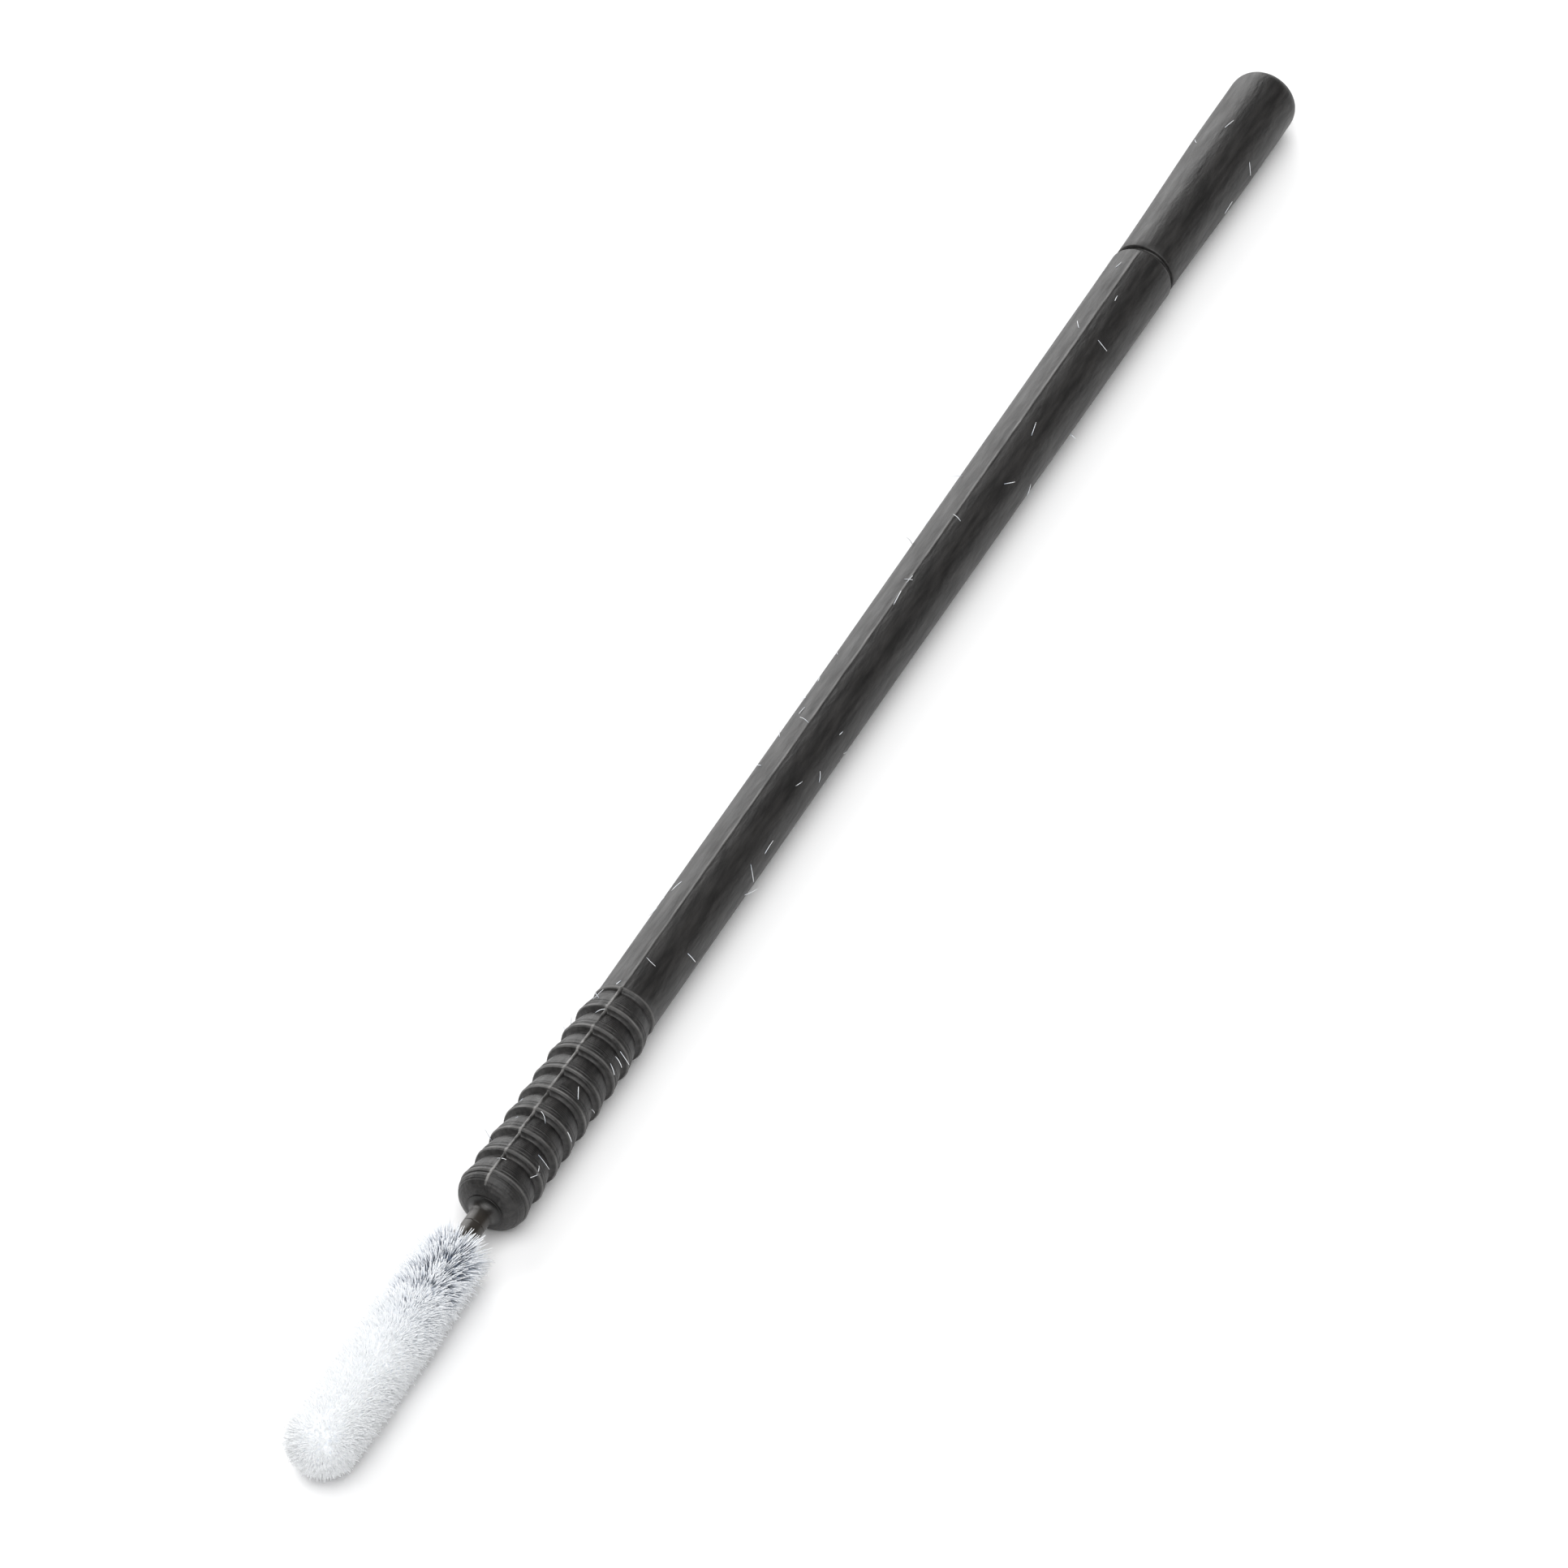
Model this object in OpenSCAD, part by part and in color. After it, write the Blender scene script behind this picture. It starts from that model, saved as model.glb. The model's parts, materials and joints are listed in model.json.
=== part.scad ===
// Disposable flocked applicator brush: a one-piece black stem with a ribbed grip and a thin
// flexible neck, whose end is a core coated with glue and covered with white flock.
// The brush lies along X with its flocked tip towards +X, and rests on Z = 0.
// Distances called "from the tail" run along the brush axis.

/* [Whole brush] */
// Length from tail end to flock tip, mm
total_len = 95; // [92:0.5:98]
// Facets of a full turn, for display only
turn_fn = 96; // [48:8:128]

/* [Tail section] */
// Length of the tail section, up to the ring groove, mm
tail_len = 13.7; // [12:0.1:15]
// Radius of the parallel end of the tail, mm
tail_r = 1.6; // [1.55:0.01:1.6]
// Length of the parallel end, rounded edge included, mm
tail_parallel = 4; // [3:0.1:6]
// Radius of the rounded edge of the tail end, mm
tail_edge_r = 0.95; // [0.6:0.05:1.2]
// Radius of the tail section next to the ring groove, mm
tail_root_r = 1.45; // [1.42:0.01:1.5]

/* [Ring groove] */
// Width of the ring groove, mm
ring_w = 0.22; // [0.15:0.01:0.3]
// Radius at the bottom of the ring groove, mm
ring_r = 1.28; // [1.2:0.01:1.35]
// Radius of the rounded shaft edge at the ring groove, mm
ring_edge_r = 0.15; // [0.1:0.01:0.2]

/* [Shaft] */
// Radius of the shaft at the ring groove, mm
shaft_tail_r = 1.5; // [1.46:0.01:1.55]
// Radius of the parallel stretch of the shaft, mm
shaft_r = 1.41; // [1.39:0.01:1.45]
// Length of the parallel stretch next to the grip, mm
shaft_parallel = 24; // [20:1:30]

/* [Ribbed grip] */
// Number of ribs on the grip
rib_count = 9; // [8:1:10]
// Distance from one rib to the next, mm
rib_pitch = 1.34; // [1.25:0.01:1.4]
// Radius of a rib's sharp crest, on its tip side, mm
rib_crest_r = 1.6; // [1.55:0.01:1.6]
// Radius at the bottom of the notch between ribs, mm
rib_notch_r = 1.35; // [1.32:0.01:1.38]
// Length of the steep face from notch to crest, mm
rib_face = 0.14; // [0.1:0.01:0.2]

/* [Neck] */
// Length of the blunt shoulder between grip and neck, mm
shoulder_len = 0.85; // [0.7:0.05:1]
// Radius of the thin neck, mm
neck_r = 0.5; // [0.45:0.01:0.55]
// Length of neck that flexes, from shoulder to core, mm
neck_len = 2; // [1.9:0.1:2.2]
// Radius of the round-ended link in the middle of the neck, mm
link_r = 0.45; // [0.4:0.01:0.46]

/* [Flocked tip] */
// Length of the flock pile, mm
pile_len = 14.15; // [13:0.05:15]
// Outer radius of the flock pile, mm
pile_r = 1.6; // [1.5:0.01:1.6]
// Height of the flock pile above the glue, mm
pile_h = 0.67; // [0.6:0.01:0.75]
// Thickness of the glue coat on the core, mm
glue_t = 0.08; // [0.05:0.01:0.1]
// Length from the start of the core to the rear edge of the glue, mm
glue_setback = 0.5; // [0.4:0.05:0.7]
// Overhang of the pile behind the start of the core, mm
pile_overhang = 0.15; // [0.1:0.05:0.2]
// Radius of the pile's rounded rear edge, mm
pile_edge_r = 0.6; // [0.4:0.05:0.8]

/* [Hidden] */

plastic = [0.13, 0.12, 0.12];
neck_plastic = [0.20, 0.18, 0.16];
glue = [0.55, 0.58, 0.62];
flock = [0.95, 0.96, 0.97];

axis_h = max(tail_r, rib_crest_r, pile_r);
glue_r = pile_r - pile_h;
core_r = glue_r - glue_t;
nose_s = total_len - pile_r;

// Stations along the axis, measured from the tail
core_s = total_len - pile_len + pile_overhang;
neck_s = core_s - neck_len;
first_crest_s = neck_s - shoulder_len;
shaft_end_s = first_crest_s - rib_count * rib_pitch;
bend_s = neck_s + neck_len / 4;
swing_s = neck_s + 3 * neck_len / 4;
glue_s = core_s + glue_setback;
pile_s = core_s - pile_overhang;

edge_steps = 8;
shoulder_steps = 10;
barrel_steps = 6;

// Points of a quarter arc about [r, s], from angle a0 to a1
function arc(r, s, size, a0, a1, steps) =
    [for (i = [0 : steps]) let (a = a0 + (a1 - a0) * i / steps) [r + size * cos(a), s + size * sin(a)]];

// A rib's barrel falls slowly from its crest at t = 0 and faster towards the notch at t = 1
function barrel_r(t) = rib_crest_r - (rib_crest_r - rib_notch_r) * (0.25 * t + 0.75 * pow(t, 3));

// One rib from the notch on its tail side up to its sharp crest, whose steep face looks to the tip
function rib(crest_s) = [for (i = [barrel_steps : -1 : 0]) let (t = i / barrel_steps)
    [barrel_r(t), crest_s - t * (rib_pitch - rib_face)]];

// The blunt shoulder is a quarter ellipse that ends at the neck
function shoulder() = [for (i = [1 : shoulder_steps]) let (a = 90 * i / shoulder_steps)
    [neck_r + (rib_crest_r - neck_r) * cos(a), first_crest_s + shoulder_len * sin(a)]];

function tail_outline() = concat(
    [[0, 0]],
    arc(tail_r - tail_edge_r, tail_edge_r, tail_edge_r, -90, 0, edge_steps),
    [[tail_r, tail_parallel], [tail_root_r, tail_len], [ring_r, tail_len]]);

function shaft_outline() = concat(
    arc(shaft_tail_r - ring_edge_r, tail_len + ring_w + ring_edge_r, ring_edge_r, -90, 0, 4),
    [[shaft_r, shaft_end_s - shaft_parallel], [shaft_r, shaft_end_s]]);

function handle_outline() = concat(
    tail_outline(),
    [[ring_r, tail_len + ring_w]],
    shaft_outline(),
    [for (k = [1 : rib_count]) each rib(shaft_end_s + k * rib_pitch)],
    shoulder(),
    [[0, neck_s]]);

// Turns an outline of [radius, distance from the tail] about the brush axis
module turned() {
    translate([-total_len / 2, 0, axis_h])
        rotate([0, 90, 0])
            rotate_extrude($fn = turn_fn)
                children();
}

// A rod outline with a round nose towards the tip
module nosed_rod(r, from_s) {
    translate([0, from_s])
        square([r, nose_s - from_s]);
    intersection() {
        translate([0, nose_s])
            circle(r, $fn = turn_fn);
        translate([0, nose_s])
            square([r, r]);
    }
}

module handle() {
    color(plastic)
        turned()
            polygon(handle_outline());
}

module neck_link() {
    color(neck_plastic)
        turned() {
            translate([0, bend_s])
                square([link_r, swing_s - bend_s]);
            for (s = [bend_s, swing_s])
                intersection() {
                    translate([0, s])
                        circle(link_r, $fn = turn_fn);
                    translate([0, s - link_r])
                        square([link_r, 2 * link_r]);
                }
        }
}

module tip_core() {
    color(neck_plastic)
        turned() {
            polygon([[0, core_s], [neck_r, core_s], [core_r, glue_s], [0, glue_s]]);
            nosed_rod(core_r, glue_s);
        }
}

module glue_coat() {
    color(glue)
        turned()
            difference() {
                nosed_rod(glue_r, glue_s);
                nosed_rod(core_r, glue_s - 1);
            }
}

module flock_pile() {
    color(flock)
        turned()
            difference() {
                union() {
                    nosed_rod(pile_r, pile_s + pile_edge_r);
                    translate([0, pile_s])
                        square([pile_r - pile_edge_r, pile_edge_r]);
                    translate([pile_r - pile_edge_r, pile_s + pile_edge_r])
                        circle(pile_edge_r, $fn = turn_fn);
                }
                nosed_rod(glue_r, pile_s - 1);
            }
}

handle();
neck_link();
tip_core();
glue_coat();
flock_pile();
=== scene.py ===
import json
import math

import bpy
import numpy as np
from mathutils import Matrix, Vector, noise


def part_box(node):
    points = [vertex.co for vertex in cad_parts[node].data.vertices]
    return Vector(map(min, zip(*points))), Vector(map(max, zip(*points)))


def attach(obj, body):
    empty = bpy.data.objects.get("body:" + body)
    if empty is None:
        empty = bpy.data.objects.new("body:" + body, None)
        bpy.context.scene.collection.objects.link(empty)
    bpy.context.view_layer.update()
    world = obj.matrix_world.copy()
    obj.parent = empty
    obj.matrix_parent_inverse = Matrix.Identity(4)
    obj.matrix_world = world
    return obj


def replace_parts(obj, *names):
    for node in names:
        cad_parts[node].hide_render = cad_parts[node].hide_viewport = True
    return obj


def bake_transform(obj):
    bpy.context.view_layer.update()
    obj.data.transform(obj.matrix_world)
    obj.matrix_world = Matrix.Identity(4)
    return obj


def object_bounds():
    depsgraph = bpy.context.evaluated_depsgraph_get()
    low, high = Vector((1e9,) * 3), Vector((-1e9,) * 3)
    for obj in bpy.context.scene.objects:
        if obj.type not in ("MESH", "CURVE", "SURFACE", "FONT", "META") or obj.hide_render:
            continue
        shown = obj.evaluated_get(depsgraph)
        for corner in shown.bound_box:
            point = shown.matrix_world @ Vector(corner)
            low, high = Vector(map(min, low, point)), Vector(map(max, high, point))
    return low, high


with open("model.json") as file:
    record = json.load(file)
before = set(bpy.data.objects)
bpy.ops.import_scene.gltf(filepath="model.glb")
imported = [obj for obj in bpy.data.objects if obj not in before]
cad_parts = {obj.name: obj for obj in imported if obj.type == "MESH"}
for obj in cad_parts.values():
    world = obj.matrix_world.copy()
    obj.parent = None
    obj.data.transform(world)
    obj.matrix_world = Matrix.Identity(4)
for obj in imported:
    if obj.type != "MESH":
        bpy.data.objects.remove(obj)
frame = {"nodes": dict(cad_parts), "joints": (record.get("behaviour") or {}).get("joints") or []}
cad_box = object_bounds()

# ---------------------------------------------------------------------------
# Sizes. Lengths are in millimetres and run along the brush from its tail,
# and every mesh is turned into metres in the row frame by to_row().
# ---------------------------------------------------------------------------
MM = 0.001
handle_lo, handle_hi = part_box("handle")
TAIL_X = handle_lo.x / MM
AXIS_H = (handle_lo.z + handle_hi.z) / 2 / MM
CREST_R = (handle_hi.z - handle_lo.z) / 2 / MM
NECK_S = handle_hi.x / MM - TAIL_X
TIP_S = cad_box[1].x / MM - TAIL_X
CORE_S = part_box("tip_core")[0].x / MM - TAIL_X
GLUE_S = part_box("glue_coat")[0].x / MM - TAIL_X
GLUE_R = (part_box("glue_coat")[1].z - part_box("glue_coat")[0].z) / 2 / MM
PILE_R = (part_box("flock_pile")[1].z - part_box("flock_pile")[0].z) / 2 / MM
HINGES = [joint["pos_m"][0] / MM - TAIL_X for joint in frame["joints"]]
NOSE_S = TIP_S - PILE_R

TAIL_LEN = 13.7
TAIL_EDGE = 1.15
TAIL_PARALLEL = 4.0
TAIL_ROOT_R = 1.45
RING_W = 0.22
RING_R = 1.28
RING_EDGE = 0.2
SHAFT_TAIL_R = 1.5
SHAFT_R = 1.41
SHAFT_PARALLEL = 24.0
RIB_COUNT = 9
RIB_PITCH = 1.34
RIB_FACE = 0.14
RIB_NOTCH_R = 1.35
LIP_RISE = 0.045
SHOULDER = 0.85
NECK_R = 0.5
NECK_FILLET = 0.36
# The crest nearest the tip, and the shaft's end, one pitch behind the crest nearest the tail
FIRST_CREST_S = NECK_S - SHOULDER
SHAFT_END_S = FIRST_CREST_S - RIB_COUNT * RIB_PITCH

# The mould's parting line runs along both sides of the stem, at these angles from straight up. Its
# flash is modelled on columns at these angles from the line, with these shares of its height
PARTING = (math.radians(-3), math.radians(177))
FLASH_ANGLES = [0, 0.022, 0.048, 0.075]
FLASH_HEIGHTS = [1, 0.8, 0.25, 0]
MOULD_SHIFT = 0.018
RIB_UNEVENNESS = 0.018
STEM_UNEVENNESS = 0.006
PARTING_RIDGE = 0.006
STEM_COLUMNS = 96

# Flock
ROOT_DEPTH = 0.03
BED_DEPTH = 0.25
BED_START_S = GLUE_S + 1.2
BED_FULL_S = GLUE_S + 7.5
ROOTS_STRAIGHT = 50000
ROOTS_NOSE = 6500
FIBRE_WIDTHS = (0.036, 0.05)
STRAY_COUNT = 64
STRAY_WIDTH = 0.034

RNG = np.random.default_rng(11)


def to_row(s, y, z):
    """Points at distance s from the tail and (y, z) from the axis, all in mm, as row-frame metres."""
    return np.stack([(s + TAIL_X) * MM, y * MM, (z + AXIS_H) * MM], axis=-1)


def around_axis(s, angle, r):
    """Points (s, y, z) at radius r and at an angle from straight up."""
    return np.stack([s, r * np.sin(angle), r * np.cos(angle)], axis=-1)


def smooth(t):
    """0 below 0, 1 above 1, and an even S between them."""
    t = np.clip(t, 0, 1)
    return t * t * (3 - 2 * t)


def noise_at(points, scale, seed):
    """Smooth noise from -1 to 1 at each point (mm), with features about 1/scale mm across."""
    shift = Vector((seed * 7.3, seed * 3.1, seed * 5.7))
    flat = points.reshape(-1, 3) * scale
    return np.array([noise.noise(Vector(p) + shift) for p in flat]).reshape(points.shape[:-1])


def noise_along(s, scale, seed):
    """The same, for places along the brush's axis."""
    return noise_at(np.stack([s, np.zeros_like(s), np.zeros_like(s)], axis=-1), scale, seed)


def make_piece(name, points, faces, material, body=None):
    """A smooth-shaded mesh piece, attached to body where one is given."""
    mesh = bpy.data.meshes.new(name)
    mesh.from_pydata(points.tolist(), [], faces)
    mesh.materials.append(material)
    mesh.polygons.foreach_set("use_smooth", [True] * len(mesh.polygons))
    mesh.update()
    piece = bpy.data.objects.new(name, mesh)
    bpy.context.scene.collection.objects.link(piece)
    if body:
        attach(piece, body)
    return piece


def turned(outline, angles, bulge=None):
    """Points and faces of an outline of (s, r) turned about the axis and closed at both ends.
    bulge(s, angle, r) gives extra radius at each point of the grid."""
    s, r = (column[:, None] for column in np.array(outline, float).T)
    angle = np.asarray(angles)[None, :]
    s, r, angle = np.broadcast_arrays(s, r, angle)
    if bulge:
        r = r + bulge(s, angle, r)
    rings, columns = r.shape
    grid = to_row(s, r * np.sin(angle), r * np.cos(angle)).reshape(-1, 3)
    ends = to_row(np.array([s[0, 0], s[-1, 0]]), np.zeros(2), np.zeros(2))
    first = rings * columns
    last = first + 1
    faces = []
    for i in range(rings - 1):
        for j in range(columns):
            k = (j + 1) % columns
            a, b = i * columns, (i + 1) * columns
            faces.append((a + j, b + j, b + k, a + k))
    for j in range(columns):
        k = (j + 1) % columns
        faces.append((first, j, k))
        faces.append((last, (rings - 1) * columns + k, (rings - 1) * columns + j))
    return np.vstack([grid, ends]), faces


def even_angles(count):
    return np.linspace(0, 2 * math.pi, count, endpoint=False)


# ---------------------------------------------------------------------------
# Materials
# ---------------------------------------------------------------------------
def new_material(name, colour, roughness):
    material = bpy.data.materials.new(name)
    material.use_nodes = True
    shader = material.node_tree.nodes["Principled BSDF"]
    shader.inputs["Base Color"].default_value = (*colour, 1)
    shader.inputs["Roughness"].default_value = roughness
    return material, material.node_tree, shader


def object_point(tree):
    return tree.nodes.new("ShaderNodeTexCoord").outputs["Object"]


def noise_node(tree, per_mm, detail=3.0, stretch=(1, 1, 1)):
    """Noise over the piece's own coordinates, with about per_mm features in a millimetre."""
    mapping = tree.nodes.new("ShaderNodeMapping")
    mapping.inputs["Scale"].default_value = stretch
    texture = tree.nodes.new("ShaderNodeTexNoise")
    texture.inputs["Scale"].default_value = per_mm / MM
    texture.inputs["Detail"].default_value = detail
    tree.links.new(object_point(tree), mapping.inputs["Vector"])
    tree.links.new(mapping.outputs["Vector"], texture.inputs["Vector"])
    return texture.outputs["Fac"]


def ramp(tree, factor, stops):
    """Colours between stops of (position, colour), from the lowest to the highest."""
    node = tree.nodes.new("ShaderNodeValToRGB")
    for element, (position, colour) in zip(node.color_ramp.elements, (stops[0], stops[-1])):
        element.position = position
        element.color = (*colour, 1)
    for position, colour in stops[1:-1]:
        node.color_ramp.elements.new(position).color = (*colour, 1)
    tree.links.new(factor, node.inputs["Fac"])
    return node.outputs["Color"]


def mix(tree, factor, first, second):
    """First (a socket) where factor is 0, and second (a colour) where it is 1."""
    node = tree.nodes.new("ShaderNodeMix")
    node.data_type = "RGBA"
    tree.links.new(factor, node.inputs["Factor"])
    tree.links.new(first, node.inputs[6])
    node.inputs[7].default_value = (*second, 1)
    return node.outputs[2]


def value_range(tree, factor, low, high):
    """Low where factor is 0, and high where it is 1."""
    node = tree.nodes.new("ShaderNodeMapRange")
    node.inputs["To Min"].default_value = low
    node.inputs["To Max"].default_value = high
    tree.links.new(factor, node.inputs["Value"])
    return node.outputs["Result"]


def bump(tree, shader, height, depth_mm, strength, below=None):
    """Small relief from height, on top of the relief below if there is one."""
    node = tree.nodes.new("ShaderNodeBump")
    node.inputs["Strength"].default_value = strength
    node.inputs["Distance"].default_value = depth_mm * MM
    tree.links.new(height, node.inputs["Height"])
    if below:
        tree.links.new(below, node.inputs["Normal"])
    tree.links.new(node.outputs["Normal"], shader.inputs["Normal"])
    return node.outputs["Normal"]


def along_brush(tree, start_s, end_s):
    """0 up to start_s, 1 from end_s on, and even between them."""
    split = tree.nodes.new("ShaderNodeSeparateXYZ")
    tree.links.new(object_point(tree), split.inputs["Vector"])
    node = tree.nodes.new("ShaderNodeMapRange")
    node.inputs["From Min"].default_value = (start_s + TAIL_X) * MM
    node.inputs["From Max"].default_value = (end_s + TAIL_X) * MM
    tree.links.new(split.outputs["X"], node.inputs["Value"])
    return node.outputs["Result"]


def turning_marks(tree, pitch_mm):
    """Rings round the axis on the grip and the shoulder, as a turning tool leaves in a mould."""
    wave = tree.nodes.new("ShaderNodeTexWave")
    wave.bands_direction = "X"
    bands_per_unit = 20 / (2 * math.pi)
    wave.inputs["Scale"].default_value = 1 / bands_per_unit / (pitch_mm * MM)
    wave.inputs["Distortion"].default_value = 0.6
    wave.inputs["Detail"].default_value = 2.0
    tree.links.new(object_point(tree), wave.inputs["Vector"])
    on_grip = tree.nodes.new("ShaderNodeMath")
    on_grip.operation = "MULTIPLY"
    tree.links.new(wave.outputs["Fac"], on_grip.inputs[0])
    tree.links.new(along_brush(tree, SHAFT_END_S - 0.1, SHAFT_END_S), on_grip.inputs[1])
    return on_grip.outputs["Value"]


def stem_plastic():
    """Black plastic with a satin mould finish, and a painted highlight where the flash attribute is set."""
    material, tree, shader = new_material("stem_black", (0.009, 0.0085, 0.008), 0.38)
    streaks = noise_node(tree, 4.0, detail=6, stretch=(0.14, 1, 1))
    black = ramp(tree, streaks, [(0.36, (0.0050, 0.0046, 0.0044)), (0.68, (0.0215, 0.0200, 0.0192))])
    # Painted highlight: the flash attribute mixes in a pale colour on the flash and the crests, as light
    # catching them.
    flash = tree.nodes.new("ShaderNodeAttribute")
    flash.attribute_name = "flash"
    painted_highlight = mix(tree, flash.outputs["Fac"], black, (0.20, 0.195, 0.19))
    tree.links.new(painted_highlight, shader.inputs["Base Color"])
    wear = noise_node(tree, 3.0, detail=5, stretch=(0.2, 1, 1))
    tree.links.new(value_range(tree, wear, 0.30, 0.66), shader.inputs["Roughness"])
    marks = bump(tree, shader, turning_marks(tree, 0.11), 0.010, 0.5)
    bump(tree, shader, noise_node(tree, 5.0, stretch=(0.3, 1, 1)), 0.03, 0.8, below=marks)
    return material


def neck_plastic():
    """The same plastic, a little brown where it is thin enough to let light through."""
    material, tree, shader = new_material("neck_black", (0.02, 0.017, 0.014), 0.36)
    thin = along_brush(tree, NECK_S, NECK_S + 0.7)
    brown = ramp(tree, thin, [(0.0, (0.008, 0.0075, 0.007)), (1.0, (0.024, 0.020, 0.016))])
    tree.links.new(brown, shader.inputs["Base Color"])
    bump(tree, shader, noise_node(tree, 10.0), 0.008, 0.4)
    return material


def glue_film():
    """Glue over the black core: cold grey, and white with matted fibre towards the nose."""
    material, tree, shader = new_material("flock_glue", (0.10, 0.12, 0.16), 0.35)
    bare = ramp(tree, noise_node(tree, 6.0), [(0.35, (0.03, 0.04, 0.06)), (0.65, (0.17, 0.21, 0.28))])
    matted = along_brush(tree, GLUE_S + 2, GLUE_S + 8)
    tree.links.new(mix(tree, matted, bare, (0.72, 0.75, 0.79)), shader.inputs["Base Color"])
    bump(tree, shader, noise_node(tree, 9.0), 0.03, 0.6)
    return material


def flock_fibre():
    """White fibre with painted shade: colder and darker towards its root, deep in the pile. The mesh gives
    the height, lifted by root_light, as an attribute.
    """
    material, tree, shader = new_material("flock_white", (0.93, 0.94, 0.95), 0.55)
    height = tree.nodes.new("ShaderNodeAttribute")
    height.attribute_name = "fibre_shading"
    stops = [(0.0, (0.28, 0.34, 0.45)), (0.4, (0.78, 0.82, 0.88)), (1.0, (0.93, 0.945, 0.96))]
    tree.links.new(ramp(tree, height.outputs["Fac"], stops), shader.inputs["Base Color"])
    shader.inputs["Sheen Weight"].default_value = 0.25
    return material


def flock_bed():
    """The close-packed lower part of the dense pile, where single fibres can't be told apart."""
    material, tree, shader = new_material("flock_bed", (0.80, 0.83, 0.87), 0.7)
    packed = ramp(tree, noise_node(tree, 7.0), [(0.33, (0.70, 0.74, 0.80)), (0.55, (0.93, 0.94, 0.95))])
    tree.links.new(packed, shader.inputs["Base Color"])
    bump(tree, shader, noise_node(tree, 9.0), 0.06, 0.7)
    return material


STEM = stem_plastic()
NECK = neck_plastic()
GLUE = glue_film()
FLOCK = flock_fibre()
BED = flock_bed()


# ---------------------------------------------------------------------------
# Stem
# ---------------------------------------------------------------------------
def arc(s, r, size, first_deg, last_deg, steps):
    """Points (s, r) round a centre, at angles from straight outwards towards the tip."""
    angles = np.radians(np.linspace(first_deg, last_deg, steps))
    return [(s + size * math.sin(a), r + size * math.cos(a)) for a in angles]


def tail_outline():
    """Full rounded end, a parallel stretch, then a slow taper down to the ring groove."""
    squareness = 2 / 2.5
    cap = [(TAIL_EDGE * (1 - math.cos(a) ** squareness), CREST_R * math.sin(a) ** squareness)
           for a in np.radians(np.linspace(4, 88, 18))]
    parallel = [(s, CREST_R) for s in np.linspace(TAIL_EDGE, TAIL_PARALLEL, 7)]
    taper = []
    for s in np.linspace(TAIL_PARALLEL, TAIL_LEN - 0.06, 26)[1:]:
        along = smooth((s - TAIL_PARALLEL) / (TAIL_LEN - TAIL_PARALLEL))
        taper.append((s, float(CREST_R + (TAIL_ROOT_R - CREST_R) * along)))
    return cap + parallel + taper


def ring_outline():
    """The groove's flat bottom, and the shaft's rounded edge after it."""
    end_s = TAIL_LEN + RING_W
    groove = [(TAIL_LEN - 0.02, TAIL_ROOT_R - 0.02), (TAIL_LEN, TAIL_ROOT_R - 0.06)]
    groove += [(TAIL_LEN, RING_R + 0.03), (TAIL_LEN + 0.02, RING_R)]
    groove += [(end_s - 0.02, RING_R), (end_s, RING_R + 0.02)]
    return groove + arc(end_s + RING_EDGE, SHAFT_TAIL_R - RING_EDGE, RING_EDGE, -90, 0, 8)


def shaft_outline():
    """A slow taper, the parallel stretch next to the grip, and the lip on the shaft's end."""
    start = TAIL_LEN + RING_W + RING_EDGE
    parallel_s = SHAFT_END_S - SHAFT_PARALLEL
    taper = [(s, SHAFT_TAIL_R + (SHAFT_R - SHAFT_TAIL_R) * (s - start) / (parallel_s - start))
             for s in np.linspace(start, parallel_s, 70)[1:]]
    parallel = [(s, SHAFT_R) for s in np.linspace(parallel_s, SHAFT_END_S - 0.25, 66)[1:]]
    return taper + parallel[:-1] + crest_lip(SHAFT_END_S, SHAFT_R + LIP_RISE)


def crest_lip(s, r):
    """The raised lip of a crest, with a narrow slope towards the tip, and the steep face's start."""
    return [(s - 0.22, r - LIP_RISE), (s - 0.19, r - 0.5 * LIP_RISE), (s - 0.17, r - 0.08 * LIP_RISE),
            (s - 0.155, r), (s - 0.12, r - 0.2 * LIP_RISE), (s - 0.06, r - 0.6 * LIP_RISE),
            (s - 0.01, r - LIP_RISE), (s, r - 1.2 * LIP_RISE), (s + 0.008, r - 2.2 * LIP_RISE)]


def barrel_r(t):
    """Radius at t of the way from the crest back to the notch, with the fine marks behind the crest."""
    top = CREST_R - LIP_RISE
    drop = (top - RIB_NOTCH_R) * (0.25 * t + 0.75 * t**3)
    lines = ((0.30, 0.026), (0.44, 0.018))
    marks = sum(height * math.exp(-((t - place) / 0.035) ** 2) for place, height in lines)
    return top - drop + marks


def rib_outline(crest_s):
    """From the notch on the rib's tail side, over its barrel, to the crest on its tip side."""
    length = RIB_PITCH - RIB_FACE
    notch_s = crest_s - length
    notch = [(notch_s - 0.05, RIB_NOTCH_R - 0.01), (notch_s, RIB_NOTCH_R - 0.015)]
    steps = np.concatenate([np.linspace(0.96, 0.57, 8), np.linspace(0.54, 0.20, 24)])
    barrel = [(crest_s - t * length, barrel_r(t)) for t in steps]
    return notch + barrel + crest_lip(crest_s, CREST_R)


def shoulder_outline():
    """A blunt dome down to the neck, with one turned edge across it."""
    inner_r = NECK_R * 0.6
    dome = []
    for a in np.radians(np.linspace(6, 90, 34)):
        s = SHOULDER * math.sin(a)
        edge = 0.02 * math.exp(-((s - SHOULDER / 2) / 0.03) ** 2)
        dome.append((FIRST_CREST_S + s, inner_r + (CREST_R - 0.05 - inner_r) * math.cos(a) + edge))
    return dome


def stem_outline():
    ribs = [point for k in range(RIB_COUNT) for point in rib_outline(SHAFT_END_S + (k + 1) * RIB_PITCH)]
    return tail_outline() + ring_outline() + shaft_outline() + ribs + shoulder_outline()


def from_line(angle, line):
    """How far an angle is from a parting line, the short way round."""
    return np.abs((angle - line + math.pi) % (2 * math.pi) - math.pi)


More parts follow.
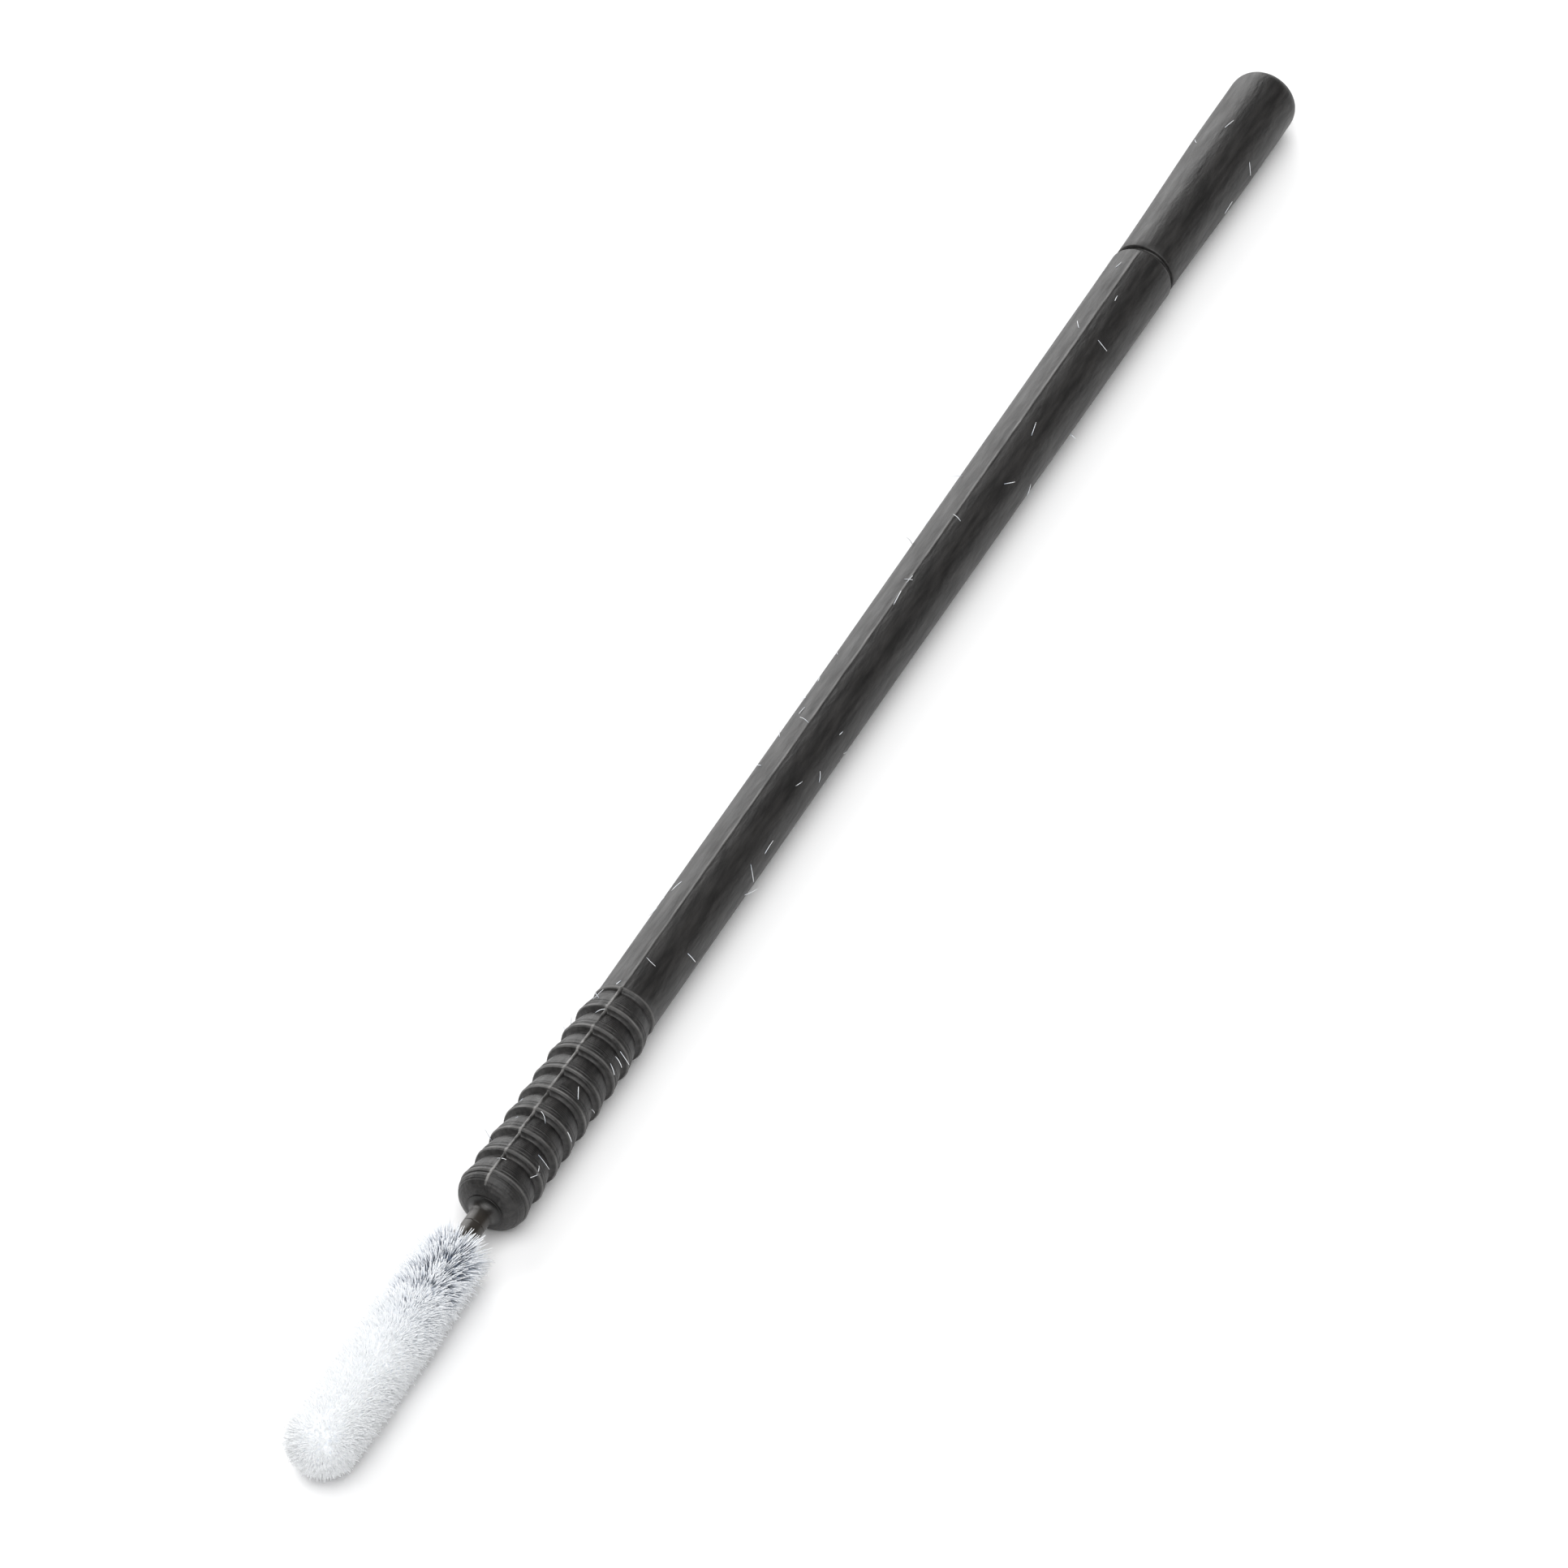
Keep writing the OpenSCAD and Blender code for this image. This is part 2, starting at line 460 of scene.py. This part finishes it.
def stem_angles():
    """Even columns, with seven close columns across each parting line for its flash."""
    across = np.array([-a for a in FLASH_ANGLES[:0:-1]] + FLASH_ANGLES)
    lines = np.concatenate([line + across for line in PARTING])
    clear = FLASH_ANGLES[-1] + 2 * math.pi / STEM_COLUMNS / 3
    even = [a for a in even_angles(STEM_COLUMNS) if all(from_line(a, line) > clear for line in PARTING)]
    return np.sort(np.concatenate([np.array(even), lines % (2 * math.pi)]))


def stem_bulge(s, angle, r):
    """Flash on the parting lines, a small mismatch of the mould halves, and uneven ribs."""
    points = around_axis(s, angle, r)
    one_half = np.sin(angle - PARTING[0]) > 0
    in_grip = smooth((s - SHAFT_END_S + 0.2) / 0.2) * smooth((FIRST_CREST_S + 0.3 - s) / 0.3)
    past_ring = smooth((s - TAIL_LEN - 0.4) / 0.4) * smooth((NECK_S - 0.1 - s) / 0.2)
    total = MOULD_SHIFT * np.cos(angle - PARTING[0]) * one_half * past_ring
    total = total + RIB_UNEVENNESS * in_grip * noise_at(points, 1.1, 3)
    total = total + STEM_UNEVENNESS * noise_at(points, 0.25, 4)
    for number, line in enumerate(PARTING):
        offset = from_line(angle, line)
        total = total + PARTING_RIDGE * np.exp(-offset / 0.3) * past_ring * (1 - in_grip)
        weight = np.interp(offset, FLASH_ANGLES, FLASH_HEIGHTS)
        seam_s = s[:, :1]
        ragged = noise_along(seam_s, 0.9, 20 + number) + 0.6 * noise_along(seam_s, 3.7, 30 + number)
        fin = 0.02 + 0.028 * np.clip(ragged + 0.25, 0, 1)
        web = np.clip(CREST_R - 0.075 + 0.05 * ragged - r, 0, None) * in_grip
        total = total + weight * past_ring * (fin + web)
    return total


def painted_flash_and_crest_highlight(s, angles):
    """How pale each point of the stem is, 0 to 1: a painted highlight along the flash, ragged along its
    length, and on each crest, as light catching its edge.
    """
    white = np.zeros((len(s), len(angles)))
    in_grip = smooth((s - SHAFT_END_S + 0.4) / 0.4)
    for number, line in enumerate(PARTING):
        ragged = noise_along(s, 0.8, 40 + number) + 0.7 * noise_along(s, 4.1, 50 + number)
        flash_highlight = np.clip(0.55 + ragged, 0, 1)
        seen = flash_highlight * (0.35 + 0.65 * in_grip) * (s > TAIL_LEN + 0.4) * (s < NECK_S - 0.3)
        white += seen[:, None] * (from_line(angles, line) < 0.03)[None, :]
    # A painted highlight on each crest, as light catching its edge, uneven round the axis.
    for k in range(RIB_COUNT + 1):
        crest_s = SHAFT_END_S + k * RIB_PITCH - 0.13
        around = np.stack(np.broadcast_arrays(crest_s, np.sin(angles), np.cos(angles)), axis=-1)
        painted_highlight = np.clip(0.40 + 0.35 * noise_at(around, 2.2, 60), 0.1, 0.8)
        white += np.exp(-((s - crest_s) / 0.05) ** 2)[:, None] * painted_highlight[None, :]
    end_points = [0, 0]
    return np.append(np.clip(white, 0, 1).ravel(), end_points)


def build_stem():
    outline = np.array(stem_outline())
    angles = stem_angles()
    points, faces = turned(outline, angles, stem_bulge)
    # Nothing reaches below the surface that the brush lies on.
    points[:, 2] = np.maximum(points[:, 2], 0)
    stem = make_piece("stem", points, faces, STEM, "stem")
    # The attribute holds the painted highlight on the flash and the crests.
    pale = stem.data.attributes.new("flash", "FLOAT", "POINT")
    pale.data.foreach_set("value", painted_flash_and_crest_highlight(outline[:, 0], angles).astype(np.float32))
    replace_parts(stem, "handle")


# ---------------------------------------------------------------------------
# Neck: two stretches, meeting halfway between the hinges
# ---------------------------------------------------------------------------
def build_neck():
    middle = (HINGES[0] + HINGES[1]) / 2
    root_s = NECK_S - 0.04
    fillet = [(root_s + NECK_FILLET * (1 - math.cos(a)), NECK_R + NECK_FILLET * (1 - math.sin(a)))
              for a in np.radians(np.linspace(0, 90, 14))]
    rear = fillet + [(s, NECK_R) for s in np.linspace(root_s + NECK_FILLET, middle, 18)[1:]]
    front = [(s, NECK_R + 0.16 * float(smooth((s - middle - 0.3) / 0.9)))
             for s in np.linspace(middle, CORE_S + 0.25, 30)]
    stretches = (
        ("neck_rear", rear, "stem", "neck", HINGES[0]),
        ("neck_front", front, "neck", "tip", HINGES[1]),
    )
    for name, outline, before, after, hinge in stretches:
        points, faces = turned(outline, even_angles(40))
        piece = make_piece(name, points, faces, NECK)
        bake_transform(piece)
        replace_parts(piece, "neck_link")


# ---------------------------------------------------------------------------
# Flocked tip
# ---------------------------------------------------------------------------
def round_nose(radius, steps):
    """The outline of the tip's rounded end, after its straight stretch."""
    return arc(NOSE_S, 0, radius, 0, 86, steps)[1:]


def build_glue():
    """An uneven film with a wavy surface, on the CAD core."""
    rear = [(GLUE_S - 0.12, GLUE_R - 0.14), (GLUE_S - 0.07, GLUE_R - 0.05)]
    straight = [(s, GLUE_R) for s in np.linspace(GLUE_S, NOSE_S, 60)]

    def lumps(s, angle, r):
        points = around_axis(s, angle, r)
        return 0.018 * noise_at(points, 2.2, 8) + 0.008 * noise_at(points, 6.0, 9) - 0.01

    points, faces = turned(rear + straight + round_nose(GLUE_R, 14), even_angles(56), lumps)
    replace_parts(make_piece("glue_film", points, faces, GLUE, "tip"), "glue_coat")


def build_bed():
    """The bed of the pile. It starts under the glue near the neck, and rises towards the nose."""
    start_r = GLUE_R - 0.09
    full_r = PILE_R - BED_DEPTH
    straight = []
    for s in np.linspace(BED_START_S, NOSE_S, 90):
        risen = smooth((s - BED_START_S) / (BED_FULL_S - BED_START_S))
        straight.append((s, float(start_r + (full_r - start_r) * risen)))

    def lumps(s, angle, r):
        points = around_axis(s, angle, r)
        patchy = smooth((s - BED_START_S) / 2) * (1 - smooth((s - BED_FULL_S) / 3))
        return 0.10 * patchy * noise_at(points, 1.3, 18) + 0.03 * noise_at(points, 4.0, 19)

    points, faces = turned(straight + round_nose(full_r, 20), even_angles(72), lumps)
    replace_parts(make_piece("flock_bed", points, faces, BED, "tip"), "flock_pile")


def unit(directions):
    return directions / np.linalg.norm(directions, axis=1, keepdims=True)


def fibre_mesh(name, roots, leans, lengths, widths, bends, body, stations, root_light):
    """Each fibre is a three-sided prism, closed at both ends. Stations are (share of length, of width),
    and root_light sets the painted shade at the fibres' roots, from 0 for cold grey to 1 for white."""
    count = len(roots)
    spin = RNG.uniform(0, 2 * math.pi, count)
    helper = np.where(np.abs(leans[:, :1]) < 0.9, [[1.0, 0, 0]], [[0, 1.0, 0]])
    u = unit(np.cross(leans, helper))
    v = np.cross(leans, u)
    rings = []
    for along, thickness in stations:
        centre = roots + leans * (lengths * along)[:, None] + bends * (lengths * along**2)[:, None]
        for side in range(3):
            a = spin + side * 2 * math.pi / 3
            outward = u * np.cos(a)[:, None] + v * np.sin(a)[:, None]
            rings.append(centre + outward * (widths * thickness / 2)[:, None])
    corners = np.stack(rings, axis=1).reshape(-1, 3)
    size = 3 * len(stations)
    one = [(2, 1, 0), (size - 3, size - 2, size - 1)]
    one += [(k * 3 + i, k * 3 + (i + 1) % 3, (k + 1) * 3 + (i + 1) % 3, (k + 1) * 3 + i)
            for k in range(len(stations) - 1) for i in range(3)]
    faces = [tuple(size * n + c for c in face) for n in range(count) for face in one]
    points = to_row(corners[:, 0], corners[:, 1], corners[:, 2])
    # Nothing reaches below the surface that the brush lies on.
    points[:, 2] = np.maximum(points[:, 2], 0)
    piece = make_piece(name, points, faces, FLOCK, body)
    # Painted shade: each fibre is darker and colder towards its root, by root_light.
    height = piece.data.attributes.new("fibre_shading", "FLOAT", "POINT")
    share = np.repeat([s[0] for s in stations], 3)[None, :]
    white = root_light[:, None] + (1 - root_light[:, None]) * share
    height.data.foreach_set("value", white.ravel().astype(np.float32))
    return piece


def flock_roots(straight_count, nose_count):
    """Random points spread evenly on the glue's cylinder and nose: positions and unit normals."""
    angle = RNG.uniform(0, 2 * math.pi, straight_count + nose_count)
    climb = np.concatenate([np.zeros(straight_count), RNG.uniform(0, 1, nose_count)])
    out = np.sqrt(1 - climb**2)
    normal = np.stack([climb, out * np.sin(angle), out * np.cos(angle)], axis=1)
    centre = np.zeros_like(normal)
    centre[:, 0] = NOSE_S
    centre[:straight_count, 0] = RNG.uniform(GLUE_S, NOSE_S, straight_count)
    return centre + normal * (GLUE_R - ROOT_DEPTH), normal


def thinned(root, share):
    """Which roots carry a fibre: few and patchy near the neck, and nearly all towards the nose."""
    patchy = 0.45 * noise_at(root, 0.6, 15) + 0.35 * noise_at(root, 1.9, 17)
    density = 0.22 + 0.82 * smooth((share - 0.12) / 0.5) + patchy
    return RNG.uniform(0, 1, len(root)) < np.clip(density, 0.12, 1)


def flock_leans(root, normal, share):
    """Outwards with some jitter, and swept back over the rear edge."""
    backward = np.clip(1 - (root[:, 0] - GLUE_S) / 0.9, 0, 1)
    jitter = 0.13 + 0.10 * smooth((share - 0.25) / 0.4)
    lean = normal + RNG.normal(0, 1, root.shape) * jitter[:, None]
    lean[:, 0] -= 0.03 + 0.85 * backward
    return unit(lean)


def flock_lengths(root, share):
    """The pile's height, with a few fibres that stick out and many short ones where it is dense."""
    count = len(root)
    length = (PILE_R - GLUE_R + ROOT_DEPTH) * RNG.normal(1.0, 0.08, count)
    length += 0.15 * (RNG.uniform(0, 1, count) < 0.05)
    short = RNG.uniform(0, 1, count) < 0.15 + 0.35 * smooth((share - 0.2) / 0.3)
    length *= np.where(short, RNG.uniform(0.55, 0.95, count), 1)
    return length * (1 + 0.06 * noise_at(root, 0.9, 16))


def build_flock():
    """The pile in three pieces. Shares run from 0 at the glue's rear edge to 1 at the tip."""
    root, normal = flock_roots(ROOTS_STRAIGHT, ROOTS_NOSE)
    share = (root[:, 0] - GLUE_S) / (TIP_S - GLUE_S)
    keep = thinned(root, share)
    root, normal, share = root[keep], normal[keep], share[keep]
    lean = flock_leans(root, normal, share)
    length = flock_lengths(root, share)
    width = RNG.uniform(*FIBRE_WIDTHS, len(root))
    bend = RNG.normal(0, 0.05, root.shape)
    # How far the painted shade at the roots is lifted: little at the rear, nearly all towards the nose.
    white = smooth((share - 0.2) / 0.6) * 0.95
    taper = ((0.0, 1.0), (1.0, 0.6))
    for name, low, high in (("flock_rear", -1, 0.42), ("flock_middle", 0.42, 0.72), ("flock_nose", 0.72, 2)):
        part = (share >= low) & (share < high)
        piece = fibre_mesh(name, root[part], lean[part], length[part], width[part], bend[part], "tip",
                           taper, white[part])
        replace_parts(piece, "flock_pile")


def build_strays():
    """Loose fibres that cling to the stem, most of them flat on it and some with one end raised."""
    count = STRAY_COUNT
    rear_s = TAIL_LEN * 0.3
    s = FIRST_CREST_S - (FIRST_CREST_S - rear_s) * RNG.uniform(0, 1, count) ** 1.3
    widest = math.pi * 0.62
    angle = RNG.uniform(-widest, widest, count)
    outline = np.array(stem_outline())
    surface = np.interp(s, outline[:, 0], outline[:, 1])
    zero = np.zeros(count)
    out = around_axis(zero, angle, 1)
    sideways = np.stack([zero, np.cos(angle), -np.sin(angle)], axis=1)
    heading = RNG.uniform(0, 2 * math.pi, count)
    raised = RNG.uniform(0, 1, count) < 0.3
    rise = np.where(raised, RNG.uniform(0.3, 1.2, count), RNG.uniform(0, 0.1, count))
    lean = sideways * np.sin(heading)[:, None] * 0.8 + out * rise[:, None]
    lean[:, 0] += np.cos(heading)
    root = np.stack([s, zero, zero], axis=1) + out * (surface + 0.012)[:, None]
    wrap = 0.16 * np.abs(np.sin(heading))
    bend = RNG.normal(0, 0.12, (count, 3)) - out * wrap[:, None]
    length = RNG.uniform(0.4, 0.78, count)
    taper = ((0.0, 0.9), (0.25, 1.0), (0.5, 1.0), (0.75, 1.0), (1.0, 0.8))
    # The last argument gives the painted shade at each stray's root end, at random.
    fibre_mesh("stray_fibres", root, unit(lean), length, np.full(count, STRAY_WIDTH), bend, "stem",
               taper, RNG.uniform(0.1, 0.6, count))


def paint_core():
    """The tip's core keeps its CAD mesh, hidden in the flock."""
    core = frame["nodes"]["tip_core"]
    core.data.materials.clear()
    core.data.materials.append(NECK)


build_stem()
build_neck()
build_glue()
build_bed()
build_flock()
build_strays()
paint_core()


# ---------------------------------------------------------------------------
# Floor, light and camera
# ---------------------------------------------------------------------------
def build_floor():
    material, tree, shader = new_material("floor_white", (0.92, 0.92, 0.92), 0.75)
    clouds = noise_node(tree, 0.01)
    white = ramp(tree, clouds, [(0.3, (0.915, 0.915, 0.917)), (0.7, (0.925, 0.925, 0.926))])
    tree.links.new(white, shader.inputs["Base Color"])
    mesh = bpy.data.meshes.new("floor")
    half = 2.4
    corners = [(-half, -half, 0), (half, -half, 0), (half, half, 0), (-half, half, 0)]
    mesh.from_pydata(corners, [], [(0, 1, 2, 3)])
    mesh.materials.append(material)
    floor = bpy.data.objects.new("floor", mesh)
    bpy.context.scene.collection.objects.link(floor)


def soft_light(name, direction, width_deg, strength):
    """A light from far off, as wide in the sky as a softbox, that lights the whole floor alike."""
    light = bpy.data.lights.new(name, "SUN")
    light.angle = math.radians(width_deg)
    light.energy = strength
    lamp = bpy.data.objects.new(name, light)
    lamp.rotation_mode = "QUATERNION"
    lamp.rotation_quaternion = Vector(direction).to_track_quat("Z", "Y")
    bpy.context.scene.collection.objects.link(lamp)


def build_world(lighting, seen):
    """A plain world that lights the brush softly, and shows as white where the floor ends."""
    world = bpy.data.worlds.new("studio")
    world.use_nodes = True
    bpy.context.scene.world = world
    tree = world.node_tree
    background = tree.nodes["Background"]
    path = tree.nodes.new("ShaderNodeLightPath")
    background.inputs["Color"].default_value = (1, 1, 1, 1)
    strength = value_range(tree, path.outputs["Is Camera Ray"], lighting, seen)
    tree.links.new(strength, background.inputs["Strength"])


def build_camera(azimuth, elevation, lens, fill, aim):
    """Looks from the photographed side at a point aim mm past the brush's middle. fill is the share of
    the frame that the brush spans."""
    a = math.radians(azimuth)
    e = math.radians(elevation)
    back = Vector((math.sin(a) * math.cos(e), -math.cos(a) * math.cos(e), math.sin(e)))
    data = bpy.data.cameras.new("camera")
    data.lens = lens
    camera = bpy.data.objects.new("camera", data)
    bpy.context.scene.collection.objects.link(camera)
    bpy.context.scene.camera = camera
    low, high = cad_box
    middle = (low + high) / 2 + Vector((aim * MM, 0, 0))
    turn = (-back).to_track_quat("-Z", "Y")
    up = turn @ Vector((0, 1, 0))
    tall = abs(up.x) * (high.x - low.x)
    distance = tall / fill / (data.sensor_width / lens)
    camera.location = middle + back * distance
    camera.rotation_mode = "QUATERNION"
    camera.rotation_quaternion = turn
    data.clip_start = distance * 0.05
    data.clip_end = distance * 20


build_floor()
build_world(lighting=0.15, seen=1.0)
soft_light("key", direction=(-0.60, -0.70, 0.38), width_deg=60, strength=2.7)
soft_light("top", direction=(0.25, 0.12, 0.95), width_deg=64, strength=2.3)
soft_light("front", direction=(0.75, 0.35, 0.55), width_deg=52, strength=1.1)
build_camera(azimuth=116, elevation=44, lens=300, fill=0.88, aim=3.0)
bpy.context.scene.view_settings.view_transform = "Standard"
